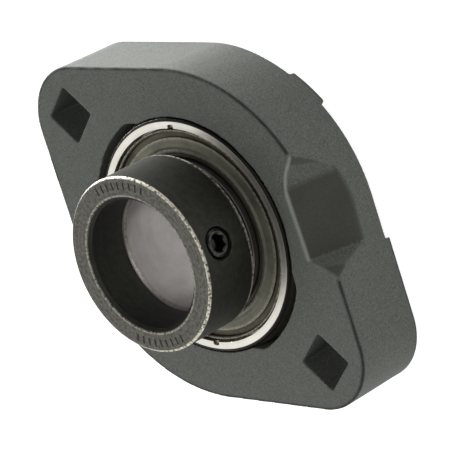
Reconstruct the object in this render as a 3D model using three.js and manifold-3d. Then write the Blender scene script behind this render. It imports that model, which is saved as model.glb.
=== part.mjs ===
// A two-bolt flange mount bearing: a diamond-shaped cast flange whose spherical seat holds a
// self-aligning ball bearing insert, with an eccentric locking collar on the insert's inner ring.
// Sizes are in millimetres. Z is the shaft axis, Z = 0 is the mounting face, and X is the bolt line.
import * as THREE from "three";
import { mergeVertices } from "three/addons/utils/BufferGeometryUtils.js";
import Module from "manifold-3d";

const wasm = await Module();
wasm.setup();

const RING_SIDES = 40;
const SEAL_SIDES = 36;
const CAGE_SIDES = 27;
const SCREW_SIDES = 16;
const RADIAL_BAR_SIDES = 12;
const RIVET_SIDES = 8;
const BALL_SEGMENTS = [12, 8];
const ARC_STEPS = 6;
const OUTLINE_STEPS = 10;
const SLOT_STEPS = 5;
const WELD_DISTANCE = 1e-4;
const OVERCUT = 1; // how far a cutter runs past the face it opens

// Cast flange
const FLANGE_THICKNESS = 20.5;
const END_CENTRE_X = 41.1;
const END_RADIUS = 15.3;
const WAIST_RADIUS = 42.4;
const BOLT_X = 45.25;
const BOLT_HOLE_SIDE = 10.3;
const RELIEF_DEPTH = 1.4;
const RELIEF_END_X = 36;
const RELIEF_RAMP_X = [-30, -12];
const REST_PAD_WIDTH = 10.5;
const REST_PAD_INNER_Y = 33;
const REAR_OPENING_RADIUS = 29.9;

// Spherical seat and the two slots that the outer ring goes in by, edge on
const SEAT_Z = 12.8;
const SEAT_RADIUS = 31.35;
const SLOT_RADIUS = 32;
const SLOT_HALF_WIDTH = 12;
const SLOT_MOUTH_X = 27.3;
const SLOT_MOUTH_Y = 13.5;

// Relief pocket in the flange's side: a sloping floor between two flared end walls
const POCKET_DIRECTION = THREE.MathUtils.degToRad(50.5);
const POCKET_FLOOR_X = 35;
const POCKET_HALF_LENGTH = 10;
const POCKET_DEPTH_Z = 12.2;
const POCKET_OUTER_X = 52;
const POCKET_FLARE_LEFT = THREE.MathUtils.degToRad(43);
const POCKET_FLARE_RIGHT = THREE.MathUtils.degToRad(26);

// Bearing insert, measured from its own centre, which is the centre of the seat
const BALL_COUNT = 9;
const BALL_RADIUS = 4.7625;
const PITCH_RADIUS = 23;
const RACE_RADIUS = 5.1;
const OUTER_RING_SPHERE = 31;
const OUTER_RING_HALF_WIDTH = 8;
const OUTER_RING_FACE_RADIUS = 29.5;
const OUTER_RING_BEVEL = 0.4;
const OUTER_LAND_RADIUS = 26.4;
const SEAL_SEAT_RADIUS = 27.4;
const SEAL_SEAT_Z = 5.5;
const BORE_RADIUS = 15.875;
const BORE_CHAMFER = 0.8;
const INNER_LAND_RADIUS = 19.85;
const INNER_HALF_LENGTH = 9;

// Eccentric lock: the cam on the inner ring, and the collar that turns on it
const ECCENTRICITY = 0.8;
const CAM_RADIUS = 18.4;
const CAM_END_Z = 28.4;
const COLLAR_RADIUS = 22.225;
const COLLAR_REAR_Z = 24.2;
const COLLAR_FRONT_Z = 40.1;
const COLLAR_BORE_RADIUS = 16.2;
const COLLAR_BORE_CHAMFER = 1.1;
const COLLAR_EDGE_CHAMFER = 0.4;
const RECESS_RADIUS = 18.8;
const RECESS_END_Z = 28.7;

// Set screw in the collar, along a radius
const SCREW_DIRECTION = THREE.MathUtils.degToRad(53.5);
const SCREW_Z = 33.8;
const SCREW_HOLE_RADIUS = 3.97;
const SCREW_RADIUS = 3.65;
const SCREW_TIP = 16.35;
const SCREW_HEAD = 22;
const SCREW_CUP_RADIUS = 1.9;
const SCREW_CUP_DEPTH = 0.6;
const SCREW_TIP_RADIUS = 2.7;
const SCREW_TIP_BEVEL = 0.7;
const SCREW_HEAD_BEVEL = 0.4;
const SOCKET_ACROSS_FLATS = 3.97;
const SOCKET_DEPTH = 3.2;

// Ball cage: two pressed rings with arched pockets, held together by rivets
const CAGE_INNER_RADIUS = 21.2;
const CAGE_OUTER_RADIUS = 24.8;
const CAGE_HALF_GAP = 0.15;
const CAGE_PLATE_TOP = 0.95;
const CAGE_DOME_TOP = 5.5;
const DOME_RADIUS = 5.7;
const POCKET_RADIUS = 5.1;
const RIVET_HOLE_RADIUS = 0.85;
const RIVET_RADIUS = 0.55;
const RIVET_HEAD_RADIUS = 1.15;
const RIVET_HEAD_UNDERSIDE = 1.25;
const RIVET_HALF_LENGTH = 1.7;

const FINISHES = {
  castIron: { color: 0x585a56, roughness: 0.75, metalness: 0.3 },
  groundSteel: { color: 0xd6d3c8, roughness: 0.2, metalness: 1 },
  boreSteel: { color: 0x98928c, roughness: 0.4, metalness: 0.9 },
  polishedSteel: { color: 0xe2e2e2, roughness: 0.08, metalness: 1 },
  pressedSteel: { color: 0x8a867a, roughness: 0.35, metalness: 0.9 },
  blackOxide: { color: 0x2a2a28, roughness: 0.5, metalness: 0.6 },
  rubber: { color: 0x1c1a18, roughness: 0.85, metalness: 0 },
};

// Solids from three.js geometries, and back again

function solidOf(geometry) {
  const bare = geometry.clone();
  bare.deleteAttribute("normal");
  bare.deleteAttribute("uv");
  const merged = mergeVertices(bare, WELD_DISTANCE);
  const mesh = new wasm.Mesh({
    numProp: 3,
    vertProperties: merged.getAttribute("position").array,
    triVerts: new Uint32Array(merged.index.array),
  });
  return new wasm.Manifold(mesh);
}

function geometryOf(solid) {
  const mesh = solid.getMesh();
  const geometry = new THREE.BufferGeometry();
  geometry.setAttribute("position", new THREE.BufferAttribute(mesh.vertProperties, 3));
  geometry.setIndex(new THREE.BufferAttribute(mesh.triVerts, 1));
  geometry.computeVertexNormals();
  return geometry;
}

function joined(solids) {
  return solids.reduce((whole, solid) => whole.add(solid));
}

// Shapes

// Points of an arc in the (radius, z) half plane; angles are in radians from the radius axis.
function arc(centreR, centreZ, radius, start, end) {
  const points = [];
  for (let i = 0; i <= ARC_STEPS; i += 1) {
    const angle = start + ((end - start) * i) / ARC_STEPS;
    points.push([centreR + radius * Math.cos(angle), centreZ + radius * Math.sin(angle)]);
  }
  return points;
}

// A profile of [radius, z] points turned about Z. It runs counter-clockwise in that plane.
function turned(profile, sides) {
  const points = profile.map(([r, z]) => new THREE.Vector2(r, z));
  return new THREE.LatheGeometry(points, sides).rotateX(Math.PI / 2);
}

// A turned ring, whose profile closes on itself.
function turnedRing(profile, sides = RING_SIDES) {
  return turned([...profile, profile[0]], sides);
}

function upright(shape, bottom, top, curveSegments = OUTLINE_STEPS) {
  const options = { depth: top - bottom, bevelEnabled: false, curveSegments };
  return new THREE.ExtrudeGeometry(shape, options).translate(0, 0, bottom);
}

function rod(radius, bottom, top, sides) {
  const cylinder = new THREE.CylinderGeometry(radius, radius, top - bottom, sides);
  return cylinder.rotateX(Math.PI / 2).translate(0, 0, (bottom + top) / 2);
}

function block(xSize, ySize, bottom, top) {
  return new THREE.BoxGeometry(xSize, ySize, top - bottom).translate(0, 0, (bottom + top) / 2);
}

// The same ring seen in the insert's middle plane, for a piece that is fitted at both ends.
function mirrored(profile) {
  return profile.map(([r, z]) => [r, -z]).reverse();
}

// Cast flange

function flangeOutline() {
  const tangent = Math.acos((WAIST_RADIUS - END_RADIUS) / END_CENTRE_X);
  const shape = new THREE.Shape();
  shape.absarc(0, 0, WAIST_RADIUS, tangent, Math.PI - tangent, false);
  shape.absarc(-END_CENTRE_X, 0, END_RADIUS, Math.PI - tangent, Math.PI + tangent, false);
  shape.absarc(0, 0, WAIST_RADIUS, Math.PI + tangent, 2 * Math.PI - tangent, false);
  shape.absarc(END_CENTRE_X, 0, END_RADIUS, -tangent, tangent, false);
  return shape;
}

function seatCutter() {
  const rear = Math.acos(REAR_OPENING_RADIUS / SEAT_RADIUS);
  const front = Math.asin((FLANGE_THICKNESS - SEAT_Z) / SEAT_RADIUS);
  const sphere = arc(0, SEAT_Z, SEAT_RADIUS, -rear, front);
  const mouth = sphere[sphere.length - 1][0];
  return turned(
    [
      [0, -OVERCUT],
      [REAR_OPENING_RADIUS, -OVERCUT],
      ...sphere,
      [mouth, FLANGE_THICKNESS + OVERCUT],
      [0, FLANGE_THICKNESS + OVERCUT],
    ],
    RING_SIDES,
  );
}

function loadingSlotCutter() {
  const half = Math.asin(SLOT_HALF_WIDTH / SLOT_RADIUS);
  const shape = new THREE.Shape();
  shape.moveTo(SLOT_RADIUS / 2, -SLOT_MOUTH_Y);
  shape.lineTo(SLOT_MOUTH_X, -SLOT_MOUTH_Y);
  shape.absarc(0, 0, SLOT_RADIUS, -half, half, false);
  shape.lineTo(SLOT_MOUTH_X, SLOT_MOUTH_Y);
  shape.lineTo(SLOT_RADIUS / 2, SLOT_MOUTH_Y);
  return upright(shape, SEAT_Z, FLANGE_THICKNESS + OVERCUT, SLOT_STEPS);
}

// The pocket's plan at the front face, carried outwards as it goes down, so its floor slopes.
function pocketCutter() {
  const run = POCKET_OUTER_X - POCKET_FLOOR_X;
  const slope = (WAIST_RADIUS - POCKET_FLOOR_X) / POCKET_DEPTH_Z;
  const shape = new THREE.Shape();
  shape.moveTo(POCKET_FLOOR_X, -POCKET_HALF_LENGTH);
  shape.lineTo(POCKET_OUTER_X, -POCKET_HALF_LENGTH - run * Math.tan(POCKET_FLARE_RIGHT));
  shape.lineTo(POCKET_OUTER_X, POCKET_HALF_LENGTH + run * Math.tan(POCKET_FLARE_LEFT));
  shape.lineTo(POCKET_FLOOR_X, POCKET_HALF_LENGTH);
  const lean = new THREE.Matrix4().makeShear(0, 0, 0, 0, -slope, 0);
  const cutter = upright(shape, -FLANGE_THICKNESS, OVERCUT).applyMatrix4(lean);
  return cutter.translate(0, 0, FLANGE_THICKNESS).rotateZ(POCKET_DIRECTION);
}

// The shallow relief across the middle of the mounting face. It ends in a ramp at one end and a
// step at the other, and leaves a small rest pad in the middle of each long side.
function reliefCutter() {
  const [rampStart, rampEnd] = RELIEF_RAMP_X;
  const section = new THREE.Shape();
  section.moveTo(rampStart, -OVERCUT);
  section.lineTo(RELIEF_END_X, -OVERCUT);
  section.lineTo(RELIEF_END_X, RELIEF_DEPTH);
  section.lineTo(rampEnd, RELIEF_DEPTH);
  section.lineTo(rampStart, 0);
  const edgeY = WAIST_RADIUS + OVERCUT;
  const padLength = edgeY + OVERCUT - REST_PAD_INNER_Y;
  let relief = solidOf(upright(section, -edgeY, edgeY).rotateX(Math.PI / 2));
  for (const side of [-1, 1]) {
    const pad = block(REST_PAD_WIDTH, padLength, -2 * OVERCUT, 2 * RELIEF_DEPTH);
    pad.translate(0, side * (REST_PAD_INNER_Y + padLength / 2), 0);
    relief = relief.subtract(solidOf(pad));
  }
  return relief;
}

function flangeHousing() {
  const cutters = [solidOf(seatCutter()), solidOf(pocketCutter()), reliefCutter()];
  for (const side of [-1, 1]) {
    const hole = block(BOLT_HOLE_SIDE, BOLT_HOLE_SIDE, -OVERCUT, FLANGE_THICKNESS + OVERCUT);
    cutters.push(solidOf(hole.translate(side * BOLT_X, 0, 0)));
    cutters.push(solidOf(loadingSlotCutter().rotateZ(side < 0 ? Math.PI : 0)));
  }
  const blank = solidOf(upright(flangeOutline(), 0, FLANGE_THICKNESS));
  return geometryOf(cutters.reduce((casting, cutter) => casting.subtract(cutter), blank));
}

// Bearing insert

function outerRing() {
  const corner = Math.asin((OUTER_RING_HALF_WIDTH - OUTER_RING_BEVEL) / OUTER_RING_SPHERE);
  const raceEdge = Math.acos((OUTER_LAND_RADIUS - PITCH_RADIUS) / RACE_RADIUS);
  return turnedRing([
    [SEAL_SEAT_RADIUS, -OUTER_RING_HALF_WIDTH],
    [OUTER_RING_FACE_RADIUS, -OUTER_RING_HALF_WIDTH],
    ...arc(0, 0, OUTER_RING_SPHERE, -corner, corner),
    [OUTER_RING_FACE_RADIUS, OUTER_RING_HALF_WIDTH],
    [SEAL_SEAT_RADIUS, OUTER_RING_HALF_WIDTH],
    [SEAL_SEAT_RADIUS, SEAL_SEAT_Z],
    [OUTER_LAND_RADIUS, SEAL_SEAT_Z],
    ...arc(PITCH_RADIUS, 0, RACE_RADIUS, raceEdge, -raceEdge),
    [OUTER_LAND_RADIUS, -SEAL_SEAT_Z],
    [SEAL_SEAT_RADIUS, -SEAL_SEAT_Z],
  ]);
}

// The inner ring runs forward past the insert into a short cam, off centre from the bore.
function innerRing() {
  const raceEdge = Math.acos((INNER_LAND_RADIUS - PITCH_RADIUS) / RACE_RADIUS);
  const body = turned(
    [
      [0, -INNER_HALF_LENGTH],
      [INNER_LAND_RADIUS, -INNER_HALF_LENGTH],
      ...arc(PITCH_RADIUS, 0, RACE_RADIUS, -raceEdge, raceEdge - 2 * Math.PI),
      [INNER_LAND_RADIUS, INNER_HALF_LENGTH],
      [0, INNER_HALF_LENGTH],
    ],
    RING_SIDES,
  );
  const camEnd = CAM_END_Z - SEAT_Z;
  const camRoot = INNER_HALF_LENGTH - OVERCUT;
  const cam = rod(CAM_RADIUS, camRoot, camEnd, RING_SIDES).translate(ECCENTRICITY, 0, 0);
  const flare = BORE_RADIUS + BORE_CHAMFER + OVERCUT;
  const bore = turned(
    [
      [0, -INNER_HALF_LENGTH - OVERCUT],
      [flare, -INNER_HALF_LENGTH - OVERCUT],
      [BORE_RADIUS, -INNER_HALF_LENGTH + BORE_CHAMFER],
      [BORE_RADIUS, camEnd - BORE_CHAMFER],
      [flare, camEnd + OVERCUT],
      [0, camEnd + OVERCUT],
    ],
    RING_SIDES,
  );
  return geometryOf(solidOf(body).add(solidOf(cam)).subtract(solidOf(bore)));
}

const SHROUD_PROFILE = [
  [22.5, 5.8],
  [27.05, 5.8],
  [27.05, 7.2],
  [26.8, 7.4],
  [26.5, 7.4],
  [26.25, 7.15],
  [26.25, 6.2],
  [22.5, 6.2],
];

const LIP_PROFILE = [
  [20.15, 5.1],
  [20.85, 5.1],
  [20.85, 5.8],
  [22.2, 5.8],
  [22.2, 6.2],
  [20.15, 6.2],
];

const FLINGER_PROFILE = [
  [20.15, 7],
  [21.7, 7],
  [24.2, 6.5],
  [24.5, 6.5],
  [24.5, 6.85],
  [21.8, 7.5],
  [20.15, 7.5],
];

function turnedSeal(profile) {
  return turnedRing(profile, SEAL_SIDES);
}

// Ball cage

function onPitchCircle(geometry, angle) {
  return geometry.translate(PITCH_RADIUS, 0, 0).rotateZ(angle);
}

// A round bar that lies along the radius through a ball's centre.
function radialBar(radius) {
  const length = 2 * (CAGE_OUTER_RADIUS - CAGE_INNER_RADIUS);
  return new THREE.CylinderGeometry(radius, radius, length, RADIAL_BAR_SIDES).rotateZ(Math.PI / 2);
}

function cageBand(bottom, top) {
  const inner = [CAGE_INNER_RADIUS, bottom];
  const outer = [CAGE_OUTER_RADIUS, top];
  const corners = [inner, [outer[0], bottom], outer, [inner[0], top]];
  return solidOf(turnedRing(corners, CAGE_SIDES));
}

function cageHalf() {
  const domes = [];
  const pockets = [];
  const holes = [];
  for (let i = 0; i < BALL_COUNT; i += 1) {
    const angle = (2 * Math.PI * i) / BALL_COUNT;
    const between = angle + Math.PI / BALL_COUNT;
    const hole = rod(RIVET_HOLE_RADIUS, -OVERCUT, 2 * OVERCUT, RIVET_SIDES);
    domes.push(solidOf(onPitchCircle(radialBar(DOME_RADIUS), angle)));
    pockets.push(solidOf(onPitchCircle(radialBar(POCKET_RADIUS), angle)));
    holes.push(solidOf(onPitchCircle(hole, between)));
  }
  const domed = joined(domes).intersect(cageBand(CAGE_HALF_GAP, CAGE_DOME_TOP));
  const blank = domed.add(cageBand(CAGE_HALF_GAP, CAGE_PLATE_TOP));
  return geometryOf(blank.subtract(joined(pockets)).subtract(joined(holes)));
}

function cageRivet() {
  return turned(
    [
      [0, -RIVET_HALF_LENGTH],
      [RIVET_HEAD_RADIUS, -RIVET_HALF_LENGTH],
      [RIVET_HEAD_RADIUS, -RIVET_HEAD_UNDERSIDE],
      [RIVET_RADIUS, -RIVET_HEAD_UNDERSIDE],
      [RIVET_RADIUS, RIVET_HEAD_UNDERSIDE],
      [RIVET_HEAD_RADIUS, RIVET_HEAD_UNDERSIDE],
      [RIVET_HEAD_RADIUS, RIVET_HALF_LENGTH],
      [0, RIVET_HALF_LENGTH],
    ],
    RIVET_SIDES,
  );
}

// Eccentric locking collar and its set screw

// A piece built along Z, with its z as a distance from the shaft axis, laid along the screw's radius.
function alongScrew(geometry) {
  return geometry.rotateY(Math.PI / 2).rotateZ(SCREW_DIRECTION).translate(0, 0, SCREW_Z);
}

function lockingCollar() {
  const blank = turnedRing([
    [COLLAR_BORE_RADIUS, COLLAR_REAR_Z],
    [COLLAR_RADIUS - COLLAR_EDGE_CHAMFER, COLLAR_REAR_Z],
    [COLLAR_RADIUS, COLLAR_REAR_Z + COLLAR_EDGE_CHAMFER],
    [COLLAR_RADIUS, COLLAR_FRONT_Z - COLLAR_EDGE_CHAMFER],
    [COLLAR_RADIUS - COLLAR_EDGE_CHAMFER, COLLAR_FRONT_Z],
    [COLLAR_BORE_RADIUS + COLLAR_BORE_CHAMFER, COLLAR_FRONT_Z],
    [COLLAR_BORE_RADIUS, COLLAR_FRONT_Z - COLLAR_BORE_CHAMFER],
  ]);
  const recess = rod(RECESS_RADIUS, COLLAR_REAR_Z - OVERCUT, RECESS_END_Z, RING_SIDES);
  const hole = rod(SCREW_HOLE_RADIUS, COLLAR_BORE_RADIUS / 2, COLLAR_RADIUS + OVERCUT, SCREW_SIDES);
  const hollowed = solidOf(blank).subtract(solidOf(recess.translate(ECCENTRICITY, 0, 0)));
  return geometryOf(hollowed.subtract(solidOf(alongScrew(hole))));
}

// A headless screw with a hollow tip and a hexagon socket.
function setScrew() {
  const blank = turned(
    [
      [0, SCREW_TIP + SCREW_CUP_DEPTH],
      [SCREW_CUP_RADIUS, SCREW_TIP],
      [SCREW_TIP_RADIUS, SCREW_TIP],
      [SCREW_RADIUS, SCREW_TIP + SCREW_TIP_BEVEL],
      [SCREW_RADIUS, SCREW_HEAD - SCREW_HEAD_BEVEL],
      [SCREW_RADIUS - SCREW_HEAD_BEVEL, SCREW_HEAD],
      [0, SCREW_HEAD],
    ],
    SCREW_SIDES,
  );
  const cornerRadius = SOCKET_ACROSS_FLATS / Math.sqrt(3);
  const socket = rod(cornerRadius, SCREW_HEAD - SOCKET_DEPTH, SCREW_HEAD + OVERCUT, 6);
  return alongScrew(geometryOf(solidOf(blank).subtract(solidOf(socket))));
}

// Assembly

function addPiece(parent, name, geometry, finish) {
  const mesh = new THREE.Mesh(geometry, new THREE.MeshStandardMaterial(FINISHES[finish]));
  mesh.name = name;
  parent.add(mesh);
  return mesh;
}

function bearingInsert() {
  const insert = new THREE.Group();
  addPiece(insert, "outer_ring", outerRing(), "groundSteel");
  addPiece(insert, "inner_ring", innerRing(), "boreSteel");
  for (const [end, placed] of Object.entries({ front: (profile) => profile, rear: mirrored })) {
    addPiece(insert, `${end}_seal_shroud`, turnedSeal(placed(SHROUD_PROFILE)), "pressedSteel");
    addPiece(insert, `${end}_seal_lip`, turnedSeal(placed(LIP_PROFILE)), "rubber");
    addPiece(insert, `${end}_flinger`, turnedSeal(placed(FLINGER_PROFILE)), "pressedSteel");
  }
  addPiece(insert, "cage_front", cageHalf(), "pressedSteel");
  addPiece(insert, "cage_rear", cageHalf(), "pressedSteel").rotation.x = Math.PI;
  for (let i = 0; i < BALL_COUNT; i += 1) {
    const angle = (2 * Math.PI * i) / BALL_COUNT;
    const between = angle + Math.PI / BALL_COUNT;
    const sphere = new THREE.SphereGeometry(BALL_RADIUS, ...BALL_SEGMENTS).rotateX(Math.PI / 2);
    const ball = addPiece(insert, `ball_${i + 1}`, sphere, "polishedSteel");
    ball.position.set(PITCH_RADIUS * Math.cos(angle), PITCH_RADIUS * Math.sin(angle), 0);
    const rivet = addPiece(insert, `cage_rivet_${i + 1}`, cageRivet(), "pressedSteel");
    rivet.position.set(PITCH_RADIUS * Math.cos(between), PITCH_RADIUS * Math.sin(between), 0);
  }
  return insert;
}

function flangeMountBearing() {
  const bearing = new THREE.Group();
  addPiece(bearing, "flange_housing", flangeHousing(), "castIron");
  const insert = bearingInsert();
  insert.position.z = SEAT_Z;
  bearing.add(insert);
  addPiece(bearing, "locking_collar", lockingCollar(), "blackOxide");
  addPiece(bearing, "set_screw", setScrew(), "blackOxide");
  return bearing;
}

export default flangeMountBearing();
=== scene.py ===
"""The looks of a two-bolt flange mount bearing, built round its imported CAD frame.

Shapes are worked out in millimetres and placed in metres. Cast and cut pieces are surfaces of a distance
field, which gives their edges and hollows real radii; rings and seals are turned from filleted profiles.
"""

import math

import bmesh
import bpy
import numpy as np
from mathutils import Matrix, Vector


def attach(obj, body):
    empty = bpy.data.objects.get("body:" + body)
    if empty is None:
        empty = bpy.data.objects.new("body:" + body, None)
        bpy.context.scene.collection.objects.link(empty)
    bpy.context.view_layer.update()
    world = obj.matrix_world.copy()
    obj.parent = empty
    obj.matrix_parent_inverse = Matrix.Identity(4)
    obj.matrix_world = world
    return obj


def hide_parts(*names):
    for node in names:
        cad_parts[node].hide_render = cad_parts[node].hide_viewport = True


MM = 0.001

# Cast flange, in millimetres
FLANGE_THICKNESS = 20.5
END_CENTRE_X = 41.1
END_RADIUS = 15.3
WAIST_RADIUS = 42.4
BOLT_X = 45.25
BOLT_HOLE_HALF = 5.15
BOLT_HOLE_CORNER = 0.6
RELIEF_DEPTH = 1.4
RELIEF_END_X = 36
RELIEF_RAMP_START = -30
RELIEF_RAMP_END = -12
REST_PAD_HALF_WIDTH = 5.25
REST_PAD_INNER_Y = 33
REAR_OPENING_RADIUS = 29.9
CAST_EDGE = 0.35
CUT_EDGE = 0.35
SKIN_WAVE = 0.018

# Spherical seat and its two loading slots
SEAT_Z = 12.8
SEAT_RADIUS = 31.12
SEAT_EDGE = 0.2
SLOT_RADIUS = 32
SLOT_CORNER = (30, 11.1)
SLOT_MOUTH = (27.3, 13.5)
SLOT_INNER_X = 16
SLOT_FILLET = 0.5

# Relief pocket in the flange's side
POCKET_DIRECTION = math.radians(50.5)
POCKET_FLOOR_X = 34.5
POCKET_HALF_LENGTH = 10
POCKET_DEPTH_Z = 12.2
POCKET_FLARE_LEFT = math.radians(43)
POCKET_FLARE_RIGHT = math.radians(26)
POCKET_FILLET = 0.45
POCKET_BEVEL = 1.5
POCKET_EDGE = 0.4
POCKET_FACETS = ((3.3, 2.5), (3.2, 0.9))
FACET_SLOPE = 0.3
FACET_REACH = 3

# Painted shade and painted highlights on the casting: how far each fades from its edge or floor
FACE_EDGE_SHADE = 0.45
FLANK_EDGE_SHADE = 0.4
RIM_HIGHLIGHT = 0.42
LEAST_RIM_HIGHLIGHT = 0.25
FLOOR_SHADE = 0.4
FACET_SHADE = 0.8

# Bearing insert, measured from the seat's centre
BALL_COUNT = 9
BALL_RADIUS = 4.7625
PITCH_RADIUS = 23
RACE_RADIUS = 5.1
OUTER_RING_SPHERE = 31
OUTER_RING_HALF_WIDTH = 8
OUTER_RING_CORNER = (29.28, 7.2, 0.8)
GAP_SHADE_AND_TONE_RADIUS = 29.12
# Beyond this radius the outer ring's sphere takes painted shade next to its faces and a warm darker tone
# deeper down.
OUTER_LAND_RADIUS = 26.4
SEAL_SEAT_RADIUS = 27.4
SEAL_SEAT_Z = 5.5
BORE_RADIUS = 15.875
BORE_CHAMFER = 0.8
INNER_LAND_RADIUS = 19.85
INNER_HALF_LENGTH = 9
STAKE_DIRECTIONS = (math.radians(131), math.radians(-50))
STAKE_HALF_WIDTH = math.radians(1.7)
STAKE_DEPTH = 0.9
STAKE_OUTER_RADIUS = 28.45

# Seal profiles: corners of (radius, height above the seat's centre, fillet)
SHROUD = [
    (22.5, 5.8, 0.08),
    (27.05, 5.8, 0.15),
    (27.05, 7.25, 0.3),
    (26.65, 7.45, 0.3),
    (26.25, 7.15, 0.2),
    (26.25, 6.2, 0.25),
    (22.5, 6.2, 0.08),
]
LIP = [
    (20.15, 5.1, 0.12),
    (20.85, 5.1, 0.2),
    (20.85, 5.8, 0.25),
    (22.2, 5.8, 0.08),
    (22.2, 6.2, 0.08),
    (20.15, 6.2, 0.2),
]
FLINGER = [
    (20.15, 6.75, 0.08),
    (22.2, 6.75, 0.3),
    (24.1, 6.35, 0.3),
    (24.9, 6.35, 0.12),
    (24.9, 6.8, 0.22),
    (24.45, 6.8, 0.2),
    (22.5, 7.12, 0.35),
    (22.0, 7.5, 0.3),
    (21.3, 7.5, 0.3),
    (20.9, 7.15, 0.25),
    (20.15, 7.15, 0.08),
]

# Eccentric lock
ECCENTRICITY = 0.8
CAM_RADIUS = 18.4
CAM_END_Z = 28.4
COLLAR_RADIUS = 22.225
COLLAR_REAR_Z = 24.2
COLLAR_FRONT_Z = 40.1
COLLAR_BORE_RADIUS = 16.2
COLLAR_BORE_CHAMFER = 1.1
COLLAR_EDGE_CHAMFER = 0.4
COLLAR_FILLET = 0.12
RECESS_RADIUS = 18.8
RECESS_END_Z = 28.7
RECESS_FILLET = 0.3
TICK_DIRECTIONS = (math.radians(135), math.radians(-45))
TICK_PITCH = math.radians(5.5)
TICKS_EACH_SIDE = 4
TICK_RADII = (18.9, 20.9)
TICK_HALF_WIDTH = 0.2
TICK_DEPTH = 0.1
TICK_FILLET = 0.05
# The side towards which the collar's painted edge highlights are bright.
LIT_SIDE = math.radians(35)

# Set screw, along a radius of the collar
SCREW_DIRECTION = math.radians(53.5)
SCREW_Z = 33.8
SCREW_TIP = 16.35
SCREW_HEAD = 22
SCREW_CREST = 3.62
TAPPED_CREST = 3.78
THREAD_DEPTH = 0.34
THREAD_PITCH = 25.4 / 24
SOCKET_HALF = 1.985
SOCKET_DEPTH = 3.2
SOCKET_LEAD_IN = 2.45
DRILL_RADIUS = 1.75
DRILL_DEPTH = 0.5
DRILL_CONE = 0.3
CUP_RADIUS = 1.9
SCREW_FILLET = 0.06
HEAD_BEVEL = 0.45
TIP_BEVEL = 0.8
HOLE_FILLET = 0.3
FLANK_SCALE = 0.8

# Ball cage
CAGE_INNER_RADIUS = 21.2
CAGE_OUTER_RADIUS = 24.8
CAGE_HALF_GAP = 0.15
CAGE_PLATE_TOP = 0.95
CAGE_DOME_TOP = 5.5
DOME_RADIUS = 5.7
DOME_ROOT_FILLET = 0.5
DOME_CROWN_FILLET = 0.4
BALL_POCKET_FILLET = 0.15
CAGE_RIM_FILLET = 0.25
CAGE_PARTING_FILLET = 0.1
RIVET_HOLE_FILLET = 0.12
RIVET_HOLE_RADIUS = 0.85
RIVET_RADIUS = 0.55
RIVET_HEAD_RADIUS = 1.15
RIVET_HEAD_UNDERSIDE = 1.25
RIVET_HALF_LENGTH = 1.7

# Camera
CAMERA_TARGET = Vector((0.00277, 0.00326, 0.01388))
CAMERA_AZIMUTH = math.radians(63.92)
CAMERA_ELEVATION = math.radians(41.88)
CAMERA_ROLL = math.radians(118)
CAMERA_DISTANCE = 0.6595
CAMERA_LENS = 218.9

# Soft lights as (name, place, size, radiance), and the floor and surroundings, in metres
SOFTBOXES = (
    ("side_strip", (-0.55, -0.11, 0.012), (0.4, 0.02), 400),
    ("sky_panel", (-0.2, -0.52, 0.58), (1.3, 1.3), 1.3),
    ("end_panel", (0.45, -0.25, 0.15), (0.5, 0.3), 1.1),
    ("top_panel", (0.1, 0.25, 0.8), (0.5, 0.5), 1.9),
)
WORLD_STRENGTH = 0.225
FLOOR_SIZE = 8
FLOOR_DROP = 0.0001
FLOOR_GLOW = 0.93

# Mesh resolution
BALL_CUTS = 19
RIVET_TURNS = 32
TURN_STEPS = 192
FILLET_STEPS = 4
NEWTON_STEPS = 4
GRADIENT_STEP = 0.01

# A distance in millimetres beyond anything near the collar's ticks
FAR = 9.0


# Distance fields: negative inside, in millimetres


def round_and(a, b, radius):
    """What lies in both a and b, with the edge between them rounded."""
    outside = np.hypot(np.maximum(a + radius, 0), np.maximum(b + radius, 0))
    return np.minimum(-radius, np.maximum(a, b)) + outside


def round_or(a, b, radius):
    """What lies in a or b, with the corner between them filleted."""
    return -round_and(-a, -b, radius)


def round_cut(a, b, radius):
    """a with b taken away, with the new edge rounded."""
    return round_and(a, -b, radius)


def bevel_and(a, b, size, radius):
    """What lies in both a and b, with the edge between them bevelled."""
    bevel = (a + b + size) / math.sqrt(2)
    return round_and(np.maximum(a, b), bevel, radius)


def flange_outline(x, y):
    """Two end circles and a wide waist circle, joined by their common tangents."""
    along = np.abs(x)
    across = np.abs(y)
    lean = (WAIST_RADIUS - END_RADIUS) / END_CENTRE_X
    rise = math.sqrt(1 - lean * lean)
    side = along * rise - across * lean
    waist = np.hypot(along, across) - WAIST_RADIUS
    end = np.hypot(along - END_CENTRE_X, across) - END_RADIUS
    flank = across * rise + along * lean - WAIST_RADIUS
    return np.where(side < 0, waist, np.where(side > rise * END_CENTRE_X, end, flank))


def skin_wave(x, y, z):
    """The slow unevenness of a sand-cast skin, in waves 6 to 19 mm long, never outside the true surface."""
    wave = np.sin(0.41 * x + 0.9) * np.sin(0.37 * y - 0.4) * np.cos(0.33 * z)
    wave = wave + 0.6 * np.sin(0.83 * x + 0.52 * y + 0.21 * z + 1.7)
    return SKIN_WAVE * (1.6 + wave)


def bolt_hole(x, y):
    half = BOLT_HOLE_HALF - BOLT_HOLE_CORNER
    u = np.abs(np.abs(x) - BOLT_X) - half
    v = np.abs(y) - half
    corner = np.hypot(np.maximum(u, 0), np.maximum(v, 0))
    return corner + np.minimum(np.maximum(u, v), 0) - BOLT_HOLE_CORNER


def loading_slot(x, y, z):
    """The two slots through which the insert goes in, edge on, at the ends of the bolt line."""
    run = SLOT_CORNER[0] - SLOT_MOUTH[0]
    rise = SLOT_MOUTH[1] - SLOT_CORNER[1]
    length = math.hypot(run, rise)
    offset = (SLOT_CORNER[0] * rise + SLOT_CORNER[1] * run) / length
    cheek = (np.abs(x) * rise + np.abs(y) * run) / length - offset
    plan = round_and(np.hypot(x, y) - SLOT_RADIUS, cheek, SLOT_FILLET)
    plan = np.maximum(plan, SLOT_INNER_X - np.abs(x))
    return round_and(plan, SEAT_Z - z, SLOT_FILLET / 2)


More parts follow.
